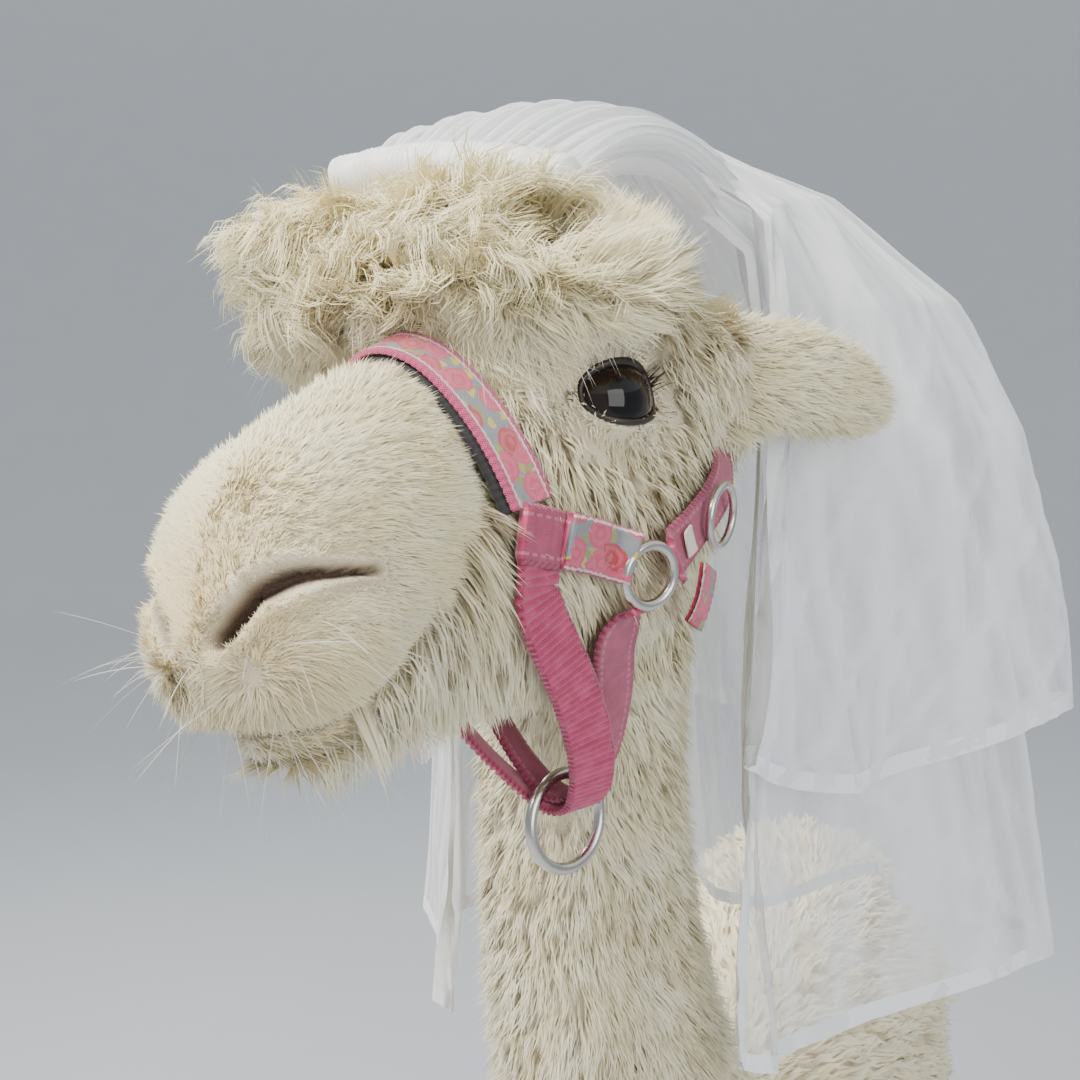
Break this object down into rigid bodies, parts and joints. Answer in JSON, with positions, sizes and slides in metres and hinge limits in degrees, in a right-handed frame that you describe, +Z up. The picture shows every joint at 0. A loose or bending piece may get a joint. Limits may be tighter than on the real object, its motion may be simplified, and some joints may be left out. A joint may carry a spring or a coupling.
{
  "type": "alpaca",
  "caption": "Life-size standing alpaca, still, with a woolly topknot, wearing a webbing halter with a lead ring and a two-tier tulle bridal veil.",
  "frame": {"origin": "on the floor, under the middle of the model's box", "axes": "+X to the animal's left, +Y towards its tail, +Z up; it faces -Y"},
  "size_m": [0.3748, 1.161, 1.4731],
  "materials": {
    "wool": "matte cream fleece: curly on the topknot, plush and sheared on the neck and body, short and flat on the face and shins",
    "nail": "dull brown horn",
    "eye": "wet black-brown",
    "webbing": "ribbed pink nylon webbing with looped edges",
    "floral_webbing": "pink webbing overlaid with a small floral ribbon",
    "padding": "black padded lining",
    "label": "bare off-white woven label",
    "nickel": "polished nickel plate, slightly scuffed",
    "tulle": "sheer white tulle with satin ribbon hems",
    "veil_band": "gathered white satin on a comb"
  },
  "bodies": {
    "root": {"head": "wool", "neck": "wool", "trunk": "wool", "tail": "wool", "leg_front_left": "wool", "leg_front_right": "wool", "leg_hind_left": "wool", "leg_hind_right": "wool", "ear_left": "wool", "ear_right": "wool", "nail_front_left_inner": "nail", "nail_front_left_outer": "nail", "nail_front_right_inner": "nail", "nail_front_right_outer": "nail", "nail_hind_left_inner": "nail", "nail_hind_left_outer": "nail", "nail_hind_right_inner": "nail", "nail_hind_right_outer": "nail", "eye_left": "eye", "eye_right": "eye", "halter_square_left": "webbing", "halter_square_right": "webbing", "halter_crown_strap": "webbing", "halter_chin_strap": "webbing", "halter_throat_strap": "webbing", "halter_strap_end": "webbing", "halter_cheek_strap_left": "floral_webbing", "halter_cheek_strap_right": "floral_webbing", "halter_noseband": "floral_webbing", "halter_pad": "padding", "halter_label": "label", "halter_cheek_ring_left": "nickel", "halter_cheek_ring_right": "nickel", "halter_buckle": "nickel", "halter_lead_ring": "nickel", "veil_upper_tier": "tulle", "veil_lower_tier": "tulle", "veil_band": "veil_band"}
  },
  "joints": []
}
